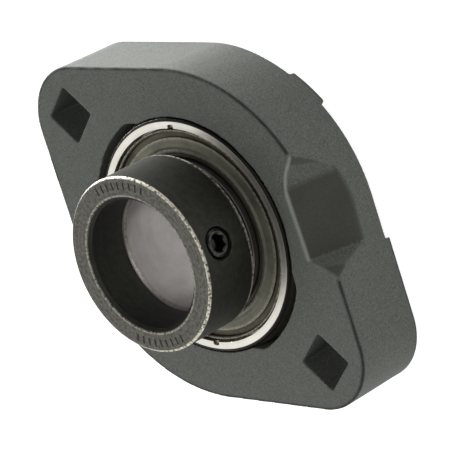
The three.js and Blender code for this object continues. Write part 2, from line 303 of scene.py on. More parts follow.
def seat_opening(x, y, z):
    radius = np.hypot(x, y)
    sphere = np.sqrt(radius**2 + (z - SEAT_Z) ** 2) - SEAT_RADIUS
    rear = radius - REAR_OPENING_RADIUS
    return np.minimum(np.minimum(sphere, rear), loading_slot(x, y, z))


def pocket_planes(x, y, z):
    """A sloping floor, two flared end walls, and how far into each wall's outer facet a point lies."""
    along = x * math.cos(POCKET_DIRECTION) + y * math.sin(POCKET_DIRECTION)
    across = y * math.cos(POCKET_DIRECTION) - x * math.sin(POCKET_DIRECTION)
    slope = (WAIST_RADIUS - POCKET_FLOOR_X) / POCKET_DEPTH_Z
    depth = FLANGE_THICKNESS - z
    run = along - slope * depth - POCKET_FLOOR_X
    floor = -run / math.hypot(1, slope)
    walls = []
    facets = []
    flares = (POCKET_FLARE_LEFT, POCKET_FLARE_RIGHT)
    for side, flare, (start, pitch) in zip((1, -1), flares, POCKET_FACETS):
        reach = side * across - POCKET_HALF_LENGTH - run * math.tan(flare)
        facet = ((along - POCKET_FLOOR_X - start) * pitch - depth) / math.hypot(1, pitch)
        facets.append(facet)
        wall = reach / math.sqrt(1 + (1 + slope**2) * math.tan(flare) ** 2)
        walls.append(wall - FACET_SLOPE * np.clip(facet, 0, FACET_REACH))
    return floor, walls, facets


def pocket(x, y, z):
    floor, walls, _ = pocket_planes(x, y, z)
    inside = bevel_and(floor, walls[0], POCKET_BEVEL, POCKET_FILLET)
    return round_and(inside, walls[1], POCKET_FILLET)


def rear_relief(x, y, z):
    """A shallow hollow across the mounting face: a ramp, a step, and a rest pad on each long side."""
    lean = math.atan2(RELIEF_DEPTH, RELIEF_RAMP_END - RELIEF_RAMP_START)
    ramp = z * math.cos(lean) - (x - RELIEF_RAMP_START) * math.sin(lean)
    hollow = round_and(z - RELIEF_DEPTH, ramp, CUT_EDGE)
    hollow = round_and(hollow, x - RELIEF_END_X, CUT_EDGE)
    pad = np.maximum(np.abs(x) - REST_PAD_HALF_WIDTH, REST_PAD_INNER_Y - np.abs(y))
    return round_cut(hollow, pad, CUT_EDGE)


def housing_field(x, y, z):
    slab = np.abs(z - FLANGE_THICKNESS / 2) - FLANGE_THICKNESS / 2
    casting = round_and(flange_outline(x, y), slab, CAST_EDGE)
    casting = round_cut(casting, pocket(x, y, z), POCKET_EDGE)
    casting = casting + skin_wave(x, y, z) * np.clip(z / RELIEF_DEPTH - 1, 0, 1)
    casting = round_cut(casting, rear_relief(x, y, z), CUT_EDGE)
    casting = round_cut(casting, bolt_hole(x, y), CUT_EDGE)
    return round_cut(casting, seat_opening(x, y, z), SEAT_EDGE)


def along_screw(x, y, z):
    """The distance out along the screw's radius, and the two distances across it."""
    out = x * math.cos(SCREW_DIRECTION) + y * math.sin(SCREW_DIRECTION)
    side = y * math.cos(SCREW_DIRECTION) - x * math.sin(SCREW_DIRECTION)
    return out, side, z - SCREW_Z


def thread(out, side, up, crest):
    """The distance from a screw thread's flank, scaled down so that it never overstates it."""
    turn = out / THREAD_PITCH + np.arctan2(up, side) / (2 * math.pi)
    depth = 2 * np.abs(turn - np.round(turn)) * THREAD_DEPTH
    return (np.hypot(side, up) - crest + depth) * FLANK_SCALE


def tick_marks(x, y, z):
    """Two rows of plain radial index marks in the collar's end face."""
    angle = np.arctan2(y, x)
    radius = np.hypot(x, y)
    mark = np.full(np.shape(radius), FAR)
    for centre in TICK_DIRECTIONS:
        turn = np.angle(np.exp(1j * (angle - centre)))
        nearest = np.clip(np.round(turn / TICK_PITCH), -TICKS_EACH_SIDE, TICKS_EACH_SIDE)
        sideways = np.abs(turn - nearest * TICK_PITCH) * radius - TICK_HALF_WIDTH
        mark = np.minimum(mark, sideways)
    middle = sum(TICK_RADII) / 2
    ends = np.abs(radius - middle) - (TICK_RADII[1] - middle)
    return np.maximum(round_and(mark, ends, 0.1), COLLAR_FRONT_Z - TICK_DEPTH - z)


def collar_field(x, y, z):
    radius = np.hypot(x, y)
    blank = bevel_and(radius - COLLAR_RADIUS, z - COLLAR_FRONT_Z, COLLAR_EDGE_CHAMFER, COLLAR_FILLET)
    blank = bevel_and(blank, COLLAR_REAR_Z - z, COLLAR_EDGE_CHAMFER, COLLAR_FILLET)
    mouth = radius - COLLAR_BORE_RADIUS - COLLAR_BORE_CHAMFER + COLLAR_FRONT_Z - z
    bore = np.minimum(radius - COLLAR_BORE_RADIUS, mouth / math.sqrt(2))
    recess = np.hypot(x - ECCENTRICITY, y) - RECESS_RADIUS
    bore = np.minimum(bore, round_and(recess, z - RECESS_END_Z, RECESS_FILLET))
    ring = round_cut(blank, bore, COLLAR_FILLET)
    out, side, up = along_screw(x, y, z)
    tapped = np.maximum(thread(out, side, up, TAPPED_CREST + THREAD_DEPTH), -out)
    ring = round_cut(ring, tapped, HOLE_FILLET)
    return round_cut(ring, tick_marks(x, y, z), TICK_FILLET)


def screw_field(x, y, z):
    """A headless screw built along x, with a hexagon socket in its head and a cup in its tip."""
    radius = np.hypot(y, z)
    blank = bevel_and(thread(x, y, z, SCREW_CREST), x - SCREW_HEAD, HEAD_BEVEL, SCREW_FILLET)
    blank = bevel_and(blank, SCREW_TIP - x, TIP_BEVEL, SCREW_FILLET)
    flats = np.maximum(np.abs(z), np.abs(z) / 2 + np.abs(y) * math.sqrt(3) / 2)
    socket = np.maximum(flats - SOCKET_HALF, SCREW_HEAD - SOCKET_DEPTH - x)
    drilled = SCREW_HEAD - SOCKET_DEPTH - DRILL_DEPTH - x + radius * DRILL_CONE
    lead_in = radius + SCREW_HEAD - x - SOCKET_LEAD_IN
    socket = np.minimum(socket, np.maximum(drilled, radius - DRILL_RADIUS))
    socket = np.minimum(socket, lead_in / math.sqrt(2))
    cup = (radius + x - SCREW_TIP - CUP_RADIUS) / math.sqrt(2)
    return round_cut(round_cut(blank, socket, SCREW_FILLET), cup, SCREW_FILLET)


def cage_field(x, y, z):
    """One pressed half of the cage: flat webs between arches that follow the balls."""
    angle = np.arctan2(y, x)
    radius = np.hypot(x, y)
    pitch = 2 * math.pi / BALL_COUNT
    turn = angle - np.round(angle / pitch) * pitch
    ball_side = np.hypot(radius * np.sin(turn), z)
    half = (CAGE_OUTER_RADIUS - CAGE_INNER_RADIUS) / 2
    band = np.abs(radius - CAGE_INNER_RADIUS - half) - half
    solid = round_or(ball_side - DOME_RADIUS, z - CAGE_PLATE_TOP, DOME_ROOT_FILLET)
    solid = round_and(solid, z - CAGE_DOME_TOP, DOME_CROWN_FILLET)
    solid = round_cut(solid, ball_side - RACE_RADIUS, BALL_POCKET_FILLET)
    solid = round_and(solid, band, CAGE_RIM_FILLET)
    solid = round_and(solid, CAGE_HALF_GAP - z, CAGE_PARTING_FILLET)
    web = (turn % pitch) - pitch / 2
    hole = np.hypot(radius * np.sin(web), radius * np.cos(web) - PITCH_RADIUS)
    return round_cut(solid, hole - RIVET_HOLE_RADIUS, RIVET_HOLE_FILLET)


# Surfaces of distance fields, on grids that may be bent round an axis


def steps(*stretches):
    """Grid lines through stretches of (end, spacing), after a first stretch of just (start,)."""
    lines = [stretches[0][0]]
    for end, spacing in stretches[1:]:
        count = max(1, round((end - lines[-1]) / spacing))
        lines.extend(np.linspace(lines[-1], end, count + 1)[1:])
    return np.array(lines)


def straight(u, v, w):
    return u, v, w


def bent(angle, height, radius):
    return radius * np.cos(angle), radius * np.sin(angle), height


def crossings(values, lines, axis, wrap):
    """The grid edges along one axis that the surface crosses: first point, its side and the crossing."""
    first = np.moveaxis(values, axis, 0)[:-1]
    second = np.moveaxis(values, axis, 0)[1:]
    found = np.array(np.nonzero((first < 0) != (second < 0)))
    inside = first[tuple(found)] < 0
    share = first[tuple(found)] / (first[tuple(found)] - second[tuple(found)])
    order = [k for k in range(3) if k != axis]
    index = np.empty_like(found)
    index[axis] = found[0]
    index[order[0]] = found[1]
    index[order[1]] = found[2]
    if wrap and axis != 0:
        kept = index[0] < values.shape[0] - 1
        index, inside, share = index[:, kept], inside[kept], share[kept]
    point = np.array([lines[k][index[k]] for k in range(3)])
    gap = lines[axis][index[axis] + 1] - lines[axis][index[axis]]
    point[axis] += share * gap
    return index, inside, point


def surface_net(values, lines, wrap):
    """One point in each crossed cell and one quad round each crossed edge. wrap closes the first axis."""
    cells = np.array(values.shape) - 1
    total = np.zeros((3, cells.prod()))
    count = np.zeros(cells.prod())
    quads = []
    for axis in range(3):
        index, inside, point = crossings(values, lines, axis, wrap)
        b = (axis + 1) % 3
        c = (axis + 2) % 3
        corners = []
        for db, dc in ((1, 1), (0, 1), (0, 0), (1, 0)):
            cell = index.copy()
            cell[b] -= db
            cell[c] -= dc
            placed = point.copy()
            if wrap:
                placed[0] += np.where(cell[0] < 0, 2 * math.pi, 0)
                cell[0] %= cells[0]
            flat = np.ravel_multi_index(cell, cells)
            for k in range(3):
                total[k] += np.bincount(flat, placed[k], len(count))
            count += np.bincount(flat, minlength=len(count))
            corners.append(flat)
        quad = np.array(corners).T
        quad[~inside] = quad[~inside][:, ::-1]
        quads.append(quad)
    used = np.nonzero(count)[0]
    number = np.full(len(count), -1)
    number[used] = np.arange(len(used))
    return total[:, used] / count[used], number[np.concatenate(quads)]


def gradient(field, points):
    parts = []
    for k in range(3):
        step = np.zeros((3, 1))
        step[k] = GRADIENT_STEP
        parts.append(field(*(points + step)) - field(*(points - step)))
    return np.array(parts) / (2 * GRADIENT_STEP)


def settled(field, points, reach):
    """Points moved onto the surface, and the surface's normals there."""
    for _ in range(NEWTON_STEPS):
        slope = gradient(field, points)
        size = np.maximum(np.linalg.norm(slope, axis=0), 0.3)
        move = np.clip(field(*points) / size, -reach, reach)
        points = points - slope / size * move
    slope = gradient(field, points)
    return points, slope / np.maximum(np.linalg.norm(slope, axis=0), 1e-6)


def field_mesh(name, field, lines, place=straight, reach=0.2):
    """A mesh of the field's surface. A bent grid's first axis is the angle, and it closes on itself."""
    wrap = place is bent
    if wrap:
        lines = (np.append(lines[0], lines[0][0] + 2 * math.pi), *lines[1:])
    grid = np.meshgrid(*lines, indexing="ij")
    values = field(*place(*grid))
    points, quads = surface_net(values, lines, wrap)
    points, normals = settled(field, np.array(place(*points)), reach)
    return mesh_piece(name, points.T, quads, normals.T)


# Meshes


def mesh_piece(name, points, faces, normals):
    mesh = bpy.data.meshes.new(name)
    mesh.from_pydata((np.asarray(points) * MM).tolist(), [], [list(map(int, f)) for f in faces])
    mesh.shade_smooth()
    mesh.normals_split_custom_set_from_vertices(np.asarray(normals).tolist())
    piece = bpy.data.objects.new(name, mesh)
    bpy.context.scene.collection.objects.link(piece)
    return piece


def filleted(corners):
    """The points of a closed profile of (radius, height, fillet) corners, with an arc at each fillet."""
    points = []
    for i, (r, z, fillet) in enumerate(corners):
        here = np.array([r, z])
        before = np.array(corners[i - 1][:2]) - here
        after = np.array(corners[(i + 1) % len(corners)][:2]) - here
        u = before / np.linalg.norm(before)
        v = after / np.linalg.norm(after)
        half = math.acos(np.clip(u @ v, -1, 1)) / 2
        room = 0.48 * min(np.linalg.norm(before), np.linalg.norm(after))
        fillet = min(fillet, room * math.tan(half))
        if fillet < 1e-3 or half > 1.55:
            points.append(here)
            continue
        centre = here + (u + v) / np.linalg.norm(u + v) * fillet / math.sin(half)
        start = here + u * fillet / math.tan(half) - centre
        swing = math.pi - 2 * half
        turn = -1 if u[0] * v[1] - u[1] * v[0] > 0 else 1
        for step in range(FILLET_STEPS + 1):
            a = turn * swing * step / FILLET_STEPS
            spin = np.array([[math.cos(a), -math.sin(a)], [math.sin(a), math.cos(a)]])
            points.append(centre + spin @ start)
    return np.array(points)


def profile_normals(points):
    """Outward normals of a closed counter-clockwise profile, led by the longer side at each point."""
    ahead = np.roll(points, -1, axis=0) - points
    behind = points - np.roll(points, 1, axis=0)
    total = sum(side * np.linalg.norm(side, axis=1)[:, None] for side in (ahead, behind))
    normals = np.stack([total[:, 1], -total[:, 0]], axis=1)
    return normals / np.linalg.norm(normals, axis=1)[:, None]


def turned(name, profile, lift=0.0, mirrored=False, offsets=None, angles=None, press=None):
    """A closed profile turned about Z. offsets shifts points along X; press moves points by their angle."""
    points = np.array(profile, float)
    normals = profile_normals(points)
    if angles is None:
        angles = np.arange(TURN_STEPS) * 2 * math.pi / TURN_STEPS
    flip = -1 if mirrored else 1
    radius = np.tile(points[:, 0], (len(angles), 1))
    height = np.tile(points[:, 1], (len(angles), 1))
    if press is not None:
        height = press(radius, height, angles[:, None])
    shift = np.zeros(len(points)) if offsets is None else np.array(offsets)
    c = np.cos(angles)[:, None]
    s = np.sin(angles)[:, None]
    place = np.stack([radius * c + shift, radius * s, flip * height + lift], axis=-1)
    facing = np.stack([normals[:, 0] * c, normals[:, 0] * s, flip * normals[:, 1] + 0 * c], axis=-1)
    faces = lathe_faces(len(angles), len(points), flip)
    return mesh_piece(name, place.reshape(-1, 3), faces, facing.reshape(-1, 3))


def lathe_faces(turns, count, flip):
    i = np.arange(turns)[:, None]
    j = np.arange(count)[None, :]
    here = i * count + j
    up = i * count + (j + 1) % count
    across = (i + 1) % turns * count + j
    both = (i + 1) % turns * count + (j + 1) % count
    order = [here, across, both, up] if flip > 0 else [here, up, both, across]
    return np.stack([np.broadcast_to(a, (turns, count)) for a in order], axis=-1).reshape(-1, 4)


# Pieces


def arc_corners(centre_r, radius, start, end, count, centre_z=0.0):
    angles = np.linspace(start, end, count)
    return [(centre_r + radius * math.cos(a), centre_z + radius * math.sin(a), 0) for a in angles]


def make_housing():
    lines = (
        steps((-57.1,), (57.1, 0.5)),
        steps((-43.1,), (43.1, 0.5)),
        steps((-0.6,), (2.7, 0.33), (18.3, 0.6), (FLANGE_THICKNESS + 0.6, 0.31)),
    )
    return field_mesh("cast_housing", housing_field, lines)


def staked(radius, height, angle):
    """Presses two small stakes into the inner edge of the ring's front face."""
    near = (radius < STAKE_OUTER_RADIUS) & (height > OUTER_RING_HALF_WIDTH - 1)
    share = np.clip((STAKE_OUTER_RADIUS - radius) / 0.35, 0, 1)
    for centre in STAKE_DIRECTIONS:
        turn = np.abs(np.angle(np.exp(1j * (angle - centre)))) / STAKE_HALF_WIDTH
        height = height - near * share * STAKE_DEPTH * np.clip(1.3 - turn, 0, 1)
    return height


def make_outer_ring():
    face = OUTER_RING_HALF_WIDTH
    corner_r, corner_z, rounding = OUTER_RING_CORNER
    corner = math.asin((corner_z + 0.1) / OUTER_RING_SPHERE)
    quarter = (math.radians(12), math.radians(90), 7)
    race_edge = math.acos((OUTER_LAND_RADIUS - PITCH_RADIUS) / RACE_RADIUS)
    profile = filleted(
        [
            (SEAL_SEAT_RADIUS, -face, 0.12),
            *arc_corners(corner_r, rounding, -quarter[1], -quarter[0], quarter[2], -corner_z),
            *arc_corners(0, OUTER_RING_SPHERE, -corner, corner, 33),
            *arc_corners(corner_r, rounding, *quarter, corner_z),
            *[(r, face, 0) for r in (28.7, 28.45, 28.25, 28.05, 27.8)],
            (SEAL_SEAT_RADIUS, face, 0.12),
            (SEAL_SEAT_RADIUS, SEAL_SEAT_Z, 0.15),
            (OUTER_LAND_RADIUS, SEAL_SEAT_Z, 0.12),
            *arc_corners(PITCH_RADIUS, RACE_RADIUS, race_edge, -race_edge, 21),
            (OUTER_LAND_RADIUS, -SEAL_SEAT_Z, 0.12),
            (SEAL_SEAT_RADIUS, -SEAL_SEAT_Z, 0.15),
        ]
    )
    angles = np.arange(TURN_STEPS) * 2 * math.pi / TURN_STEPS
    fine = np.linspace(-1.6, 1.6, 17) * STAKE_HALF_WIDTH
    for centre in STAKE_DIRECTIONS:
        turn = np.angle(np.exp(1j * (angles - centre)))
        angles = np.append(angles[np.abs(turn) > 1.8 * STAKE_HALF_WIDTH], centre + fine)
    angles = np.sort(angles % (2 * math.pi))
    return turned("insert_outer_ring", profile, SEAT_Z, angles=angles, press=staked)


def make_inner_ring():
    end = CAM_END_Z - SEAT_Z
    back = -INNER_HALF_LENGTH
    race_edge = math.acos((INNER_LAND_RADIUS - PITCH_RADIUS) / RACE_RADIUS)
    land = [
        (BORE_RADIUS, end - BORE_CHAMFER, 0.15),
        (BORE_RADIUS, back + BORE_CHAMFER, 0.15),
        (BORE_RADIUS + BORE_CHAMFER, back, 0.15),
        (INNER_LAND_RADIUS, back, 0.3),
        *arc_corners(PITCH_RADIUS, RACE_RADIUS, 2 * math.pi - race_edge, race_edge, 21),
        (INNER_LAND_RADIUS, INNER_HALF_LENGTH, 0.3),
    ]
    cam = [
        (CAM_RADIUS, INNER_HALF_LENGTH, 0.1),
        (CAM_RADIUS, end, 0.3),
    ]
    rim = [(BORE_RADIUS + BORE_CHAMFER, end, 0.15)]
    profile = filleted([*land, *cam, *rim])
    on_cam = (profile[:, 1] > INNER_HALF_LENGTH - 0.01) & (profile[:, 0] > CAM_RADIUS - 0.5)
    on_cam &= profile[:, 0] < CAM_RADIUS + 0.2
    offsets = np.where(on_cam, ECCENTRICITY, 0)
    return turned("insert_inner_ring", profile, SEAT_Z, offsets=offsets)


def make_rivet(name, angle):
    """A rivet with a domed head at each end."""
    head = RIVET_HALF_LENGTH
    under = RIVET_HEAD_UNDERSIDE
    profile = filleted(
        [
            (0.001, -head, 0),
            (RIVET_HEAD_RADIUS, -head, 0.35),
            (RIVET_HEAD_RADIUS, -under, 0.05),
            (RIVET_RADIUS, -under, 0.1),
            (RIVET_RADIUS, under, 0.1),
            (RIVET_HEAD_RADIUS, under, 0.05),
            (RIVET_HEAD_RADIUS, head, 0.35),
            (0.001, head, 0),
        ]
    )
    angles = np.arange(RIVET_TURNS) * 2 * math.pi / RIVET_TURNS
    rivet = turned(name, profile, SEAT_Z, angles=angles)
    rivet.data.transform(Matrix.Translation(on_pitch_circle(angle)))
    return rivet


def on_pitch_circle(angle):
    return Vector((math.cos(angle), math.sin(angle), 0)) * PITCH_RADIUS * MM


def make_ball(name, angle):
    """A sphere of even quads, from a cube cut into a fine grid."""
    shape = bmesh.new()
    bmesh.ops.create_cube(shape, size=2)
    bmesh.ops.subdivide_edges(shape, edges=shape.edges[:], cuts=BALL_CUTS, use_grid_fill=True)
    for vert in shape.verts:
        even = Vector([math.tan(c * math.pi / 4) for c in vert.co])
        vert.co = even.normalized() * BALL_RADIUS * MM
    mesh = bpy.data.meshes.new(name)
    shape.to_mesh(mesh)
    shape.free()
    mesh.shade_smooth()
    mesh.transform(Matrix.Translation(on_pitch_circle(angle) + Vector((0, 0, SEAT_Z * MM))))
    ball = bpy.data.objects.new(name, mesh)
    bpy.context.scene.collection.objects.link(ball)
    return ball


def make_cage(name, front):
    lines = (
        np.arange(BALL_COUNT * 54) * 2 * math.pi / (BALL_COUNT * 54),
        steps((-0.11,), (1.3, 0.14), (5.8, 0.25)),
        steps((20.9,), (21.6, 0.15), (24.4, 0.3), (25.1, 0.15)),
    )
    half = field_mesh(name, cage_field, lines, bent, 0.1)
    if not front:
        half.data.transform(Matrix.Rotation(math.pi, 4, "X"))
    half.data.transform(Matrix.Translation((0, 0, SEAT_Z * MM)))
    return half


def collar_angles():
    """Grid angles for the collar, close together at the index marks and at the tapped hole."""
    coarse = np.arange(240) * 2 * math.pi / 240
    fine = [(a, TICK_PITCH / 12, TICK_PITCH * (TICKS_EACH_SIDE + 1)) for a in TICK_DIRECTIONS]
    fine.append((SCREW_DIRECTION, math.radians(0.6), math.radians(13.2)))
    angles = coarse
    for centre, spacing, half in fine:
        turn = np.angle(np.exp(1j * (angles - centre)))
        patch = centre + np.arange(-half, half + spacing / 2, spacing)
        angles = np.append(angles[np.abs(turn) > half + spacing], patch)
    return np.sort(angles % (2 * math.pi))


def make_collar():
    lines = (
        collar_angles(),
        steps((23.85,), (25.05, 0.15), (28.2, 0.5), (29.4, 0.2), (38.2, 0.27), (39.1, 0.3), (40.3, 0.12)),
        steps((15.9,), (18.1, 0.2), (20.9, 0.32), (22.55, 0.15)),
    )
    return field_mesh("locking_collar_turned", collar_field, lines, bent, 0.1)


def make_screw():
    lines = (
        steps((SCREW_TIP - 0.22,), (SCREW_HEAD + 0.22, 0.11)),
        steps((-3.85,), (3.85, 0.11)),
        steps((-3.85,), (3.85, 0.11)),
    )
    screw = field_mesh("collar_set_screw", screw_field, lines, reach=0.08)
    turn = Matrix.Rotation(SCREW_DIRECTION, 4, "Z")
    screw.data.transform(Matrix.Translation((0, 0, SCREW_Z * MM)) @ turn)
    return screw


# Materials


class Shader:
    """A Principled material under construction, with short calls for the nodes that feed it."""

    def __init__(self, name, **sockets):
        self.material = bpy.data.materials.new(name)
        self.material.use_nodes = True
        self.nodes = self.material.node_tree.nodes
        self.links = self.material.node_tree.links
        self.shader = self.nodes["Principled BSDF"]
        for socket, value in sockets.items():
            self.set(socket.replace("_", " "), value)
        self.place = self.nodes.new("ShaderNodeTexCoord").outputs["Object"]

    def set(self, socket, value):
        if isinstance(value, bpy.types.NodeSocket):
            self.links.new(value, self.shader.inputs[socket])
        else:
            self.shader.inputs[socket].default_value = value

    def feed(self, node, inputs):
        for socket, value in inputs.items():
            if isinstance(value, bpy.types.NodeSocket):
                self.links.new(value, node.inputs[socket])
            else:
                node.inputs[socket].default_value = value

    def math(self, operation, *values):
        node = self.nodes.new("ShaderNodeMath")
        node.operation = operation
        self.feed(node, dict(enumerate(values)))
        return node.outputs[0]

    def noise(self, size_mm, detail=4.0, vector=None, roughness=0.55):
        """Noise with features of about size_mm, from 0 to 1."""
        node = self.nodes.new("ShaderNodeTexNoise")
        where = {"Vector": vector or self.place, "Scale": 1 / (size_mm * MM)}
        self.feed(node, {**where, "Detail": detail, "Roughness": roughness})
        return node.outputs["Fac"]

    def spread(self, value, low, high, to_low=0.0, to_high=1.0):
        """value mapped smoothly from low..high to to_low..to_high."""
        node = self.nodes.new("ShaderNodeMapRange")
        node.interpolation_type = "SMOOTHSTEP"
        self.feed(node, {0: value, 1: low, 2: high, 3: to_low, 4: to_high})
        return node.outputs[0]

    def blend(self, share, first, second):
        """The colour that share mixes from first to second."""
        node = self.nodes.new("ShaderNodeMix")
        node.data_type = "RGBA"
        for socket, value in ((0, share), (6, first), (7, second)):
            if isinstance(value, bpy.types.NodeSocket):
                self.links.new(value, node.inputs[socket])
            elif socket:
                node.inputs[socket].default_value = (*value, 1)
            else:
                node.inputs[socket].default_value = value
        return node.outputs[2]

    def bump(self, height, depth_mm):
        node = self.nodes.new("ShaderNodeBump")
        self.feed(node, {"Height": height, "Distance": depth_mm * MM, "Strength": 1.0})
        self.set("Normal", node.outputs[0])

    def tone(self):
        """The colour that feeds the shader so far."""
        return self.shader.inputs["Base Color"].links[0].from_socket

    def split(self):
        node = self.nodes.new("ShaderNodeSeparateXYZ")
        self.links.new(self.place, node.inputs[0])
        return node.outputs

    def joined(self, x, y, z):
        node = self.nodes.new("ShaderNodeCombineXYZ")
        self.feed(node, {0: x, 1: y, 2: z})
        return node.outputs[0]

    def radius(self):
        """The distance from the shaft axis, in metres."""
        x, y, _ = self.split()
        return self.math("SQRT", self.math("ADD", self.math("MULTIPLY", x, x), self.math("MULTIPLY", y, y)))

    def lathe_lines(self, size_mm):
        """Fine turning marks: noise that changes with radius and height but hardly with angle."""
        stretched = self.joined(self.radius(), self.split()[2], 0.0)
        return self.noise(size_mm, 3.0, stretched)

    def attribute(self, name):
        node = self.nodes.new("ShaderNodeAttribute")
        node.attribute_name = name
        return node.outputs["Fac"]


def cast_paint():
    s = Shader("cast_paint")
    s.set("Specular IOR Level", 0.5)
    mottle = s.noise(2.6, 5.0)
    grain = s.noise(0.42, 3.0)
    tone = s.blend(s.spread(mottle, 0.35, 0.65), (0.077, 0.083, 0.072), (0.088, 0.095, 0.083))
    tone = s.blend(s.spread(grain, 0.53, 0.7, 0, 0.75), tone, (0.14, 0.149, 0.132))
    tone = s.blend(s.spread(grain, 0.47, 0.3, 0, 0.75), tone, (0.035, 0.038, 0.032))
    # The hollow attribute paints shade onto the pocket's floor and onto a facet of each end wall.
    tone = s.blend(s.math("MULTIPLY", s.attribute("hollow"), 0.85), tone, (0.03, 0.031, 0.022))
    # The rim attribute paints a light highlight line along the pocket's rim.
    tone = s.blend(s.attribute("rim"), tone, (0.23, 0.24, 0.212))
    # The edge attribute paints a dark line of shade along the casting's outer edges.
    edge = s.attribute("edge")
    s.set("Base Color", s.blend(s.math("MULTIPLY", edge, 0.93), tone, (0.012, 0.013, 0.011)))
    gloss = s.spread(mottle, 0.2, 0.8, 0.68, 0.8)
    s.set("Roughness", s.math("MAXIMUM", gloss, s.math("MULTIPLY", edge, 0.9)))
    height = s.math("ADD", grain, s.math("MULTIPLY", s.noise(1.1, 3.0), 0.7))
    s.bump(height, 0.09)
    return s.material


def metal(name, light, dark, rough, lines_mm=0.35, line_depth=0.004, mottle_mm=5.0):
    """Bare metal: a slow change of tone, and fine lathe lines in its gloss and relief."""
    s = Shader(name, Metallic=1.0)
    lines = s.lathe_lines(lines_mm)
    tone = s.spread(s.noise(mottle_mm, 4.0), 0.3, 0.7)
    s.set("Base Color", s.blend(tone, dark, light))
    s.set("Roughness", s.spread(lines, 0.25, 0.75, rough[0], rough[1]))
    s.bump(lines, line_depth)
    return s


def ring_steel():
    """Ground faces, with painted shade in the stake dents and on the outer sphere next to each face, where
    the ring meets the housing's seat, fading to a warm darker tone deeper on the sphere.
    """
    s = metal("ground_ring_steel", (0.57, 0.55, 0.5), (0.5, 0.485, 0.44), (0.3, 0.42), 0.3, 0.003)
    tone = s.tone()
    above = s.math("ABSOLUTE", s.math("SUBTRACT", s.split()[2], SEAT_Z * MM))
    face = OUTER_RING_HALF_WIDTH * MM
    low = s.spread(above, face - 0.0001, face - 0.0003)
    rim = s.spread(s.radius(), SEAL_SEAT_RADIUS * MM, (SEAL_SEAT_RADIUS + 0.1) * MM)
    outside = s.spread(s.radius(), GAP_SHADE_AND_TONE_RADIUS * MM, (GAP_SHADE_AND_TONE_RADIUS + 0.15) * MM)
    # Painted shade in the stake dents and on the sphere near the faces; a warm darker sphere tone further
    # from them.
    gap_shade_and_sphere_mask = s.math("MAXIMUM", s.math("MULTIPLY", low, rim), outside)
    deep = s.spread(above, face - 0.0004, face - 0.0012)
    dark = s.blend(deep, (0.012, 0.011, 0.009), (0.42, 0.375, 0.32))
    s.set("Base Color", s.blend(gap_shade_and_sphere_mask, tone, dark))
    return s.material


def bore_steel():
    s = metal("bore_steel", (0.33, 0.312, 0.3), (0.28, 0.265, 0.253), (0.34, 0.46), 0.4, 0.004)
    # A painted highlight line along the bore's front chamfer.
    rim = (BORE_RADIUS + 0.2, CAM_END_Z - 0.6, 0.45)
    s.set("Base Color", edge_highlights(s, s.tone(), [rim], (0.5, 0.45, 0.37)))
    return s.material


def edge_highlights(s, tone, edges, colour):
    """tone with a painted highlight line along each (radius, height, width) circle, broken up by noise."""
    breakup = s.spread(s.noise(0.7, 4.0), 0.32, 0.6)
    lines = [highlight_ring(s, *edge) for edge in edges]
    total = lines[0]
    for line in lines[1:]:
        total = s.math("MAXIMUM", total, line)
    return s.blend(s.math("MULTIPLY", total, breakup), tone, colour)


def dull_pressing(name, light, dark, edges):
    """Pressed sheet, darkened by oil, with painted highlight lines along its raised rims."""
    s = metal(name, light, dark, (0.56, 0.68), 0.4, 0.006)
    both = [(r, SEAT_Z + side * z, w) for r, z, w in edges for side in (1, -1)]
    s.set("Base Color", edge_highlights(s, s.tone(), both, (0.27, 0.257, 0.21)))
    return s.material


def pressed_steel():
    rims = [(26.7, 7.45, 0.45)]
    return dull_pressing("pressed_steel", (0.11, 0.102, 0.074), (0.07, 0.065, 0.046), rims)


def flinger_steel():
    rims = [(24.7, 6.8, 0.6), (21.65, 7.5, 0.65)]
    return dull_pressing("flinger_steel", (0.17, 0.166, 0.132), (0.12, 0.117, 0.092), rims)


def cage_steel():
    s = metal("cage_steel", (0.46, 0.44, 0.4), (0.34, 0.32, 0.29), (0.22, 0.38), 0.6, 0.004, 3.0)
    return s.material


def ball_steel():
    s = metal("ball_steel", (0.83, 0.83, 0.83), (0.76, 0.76, 0.77), (0.04, 0.09), 1.2, 0.0006, 2.0)
    return s.material


def seal_rubber():
    s = Shader("seal_rubber")
    grain = s.noise(0.3, 3.0)
    cloud = s.spread(s.noise(2.5), 0.35, 0.65)
    s.set("Base Color", s.blend(cloud, (0.012, 0.011, 0.01), (0.024, 0.022, 0.02)))
    s.set("Roughness", s.spread(grain, 0.3, 0.7, 0.62, 0.82))
    s.bump(grain, 0.02)
    return s.material


def highlight_ring(s, radius_mm, height_mm, width_mm):
    """1 along a circle about the shaft axis, falling to 0 over width_mm from it."""
    off_r = s.math("SUBTRACT", s.radius(), radius_mm * MM)
    off_z = s.math("SUBTRACT", s.split()[2], height_mm * MM)
    square = s.math("ADD", s.math("MULTIPLY", off_r, off_r), s.math("MULTIPLY", off_z, off_z))
    return s.spread(s.math("SQRT", square), width_mm * MM, width_mm * MM * 0.35)


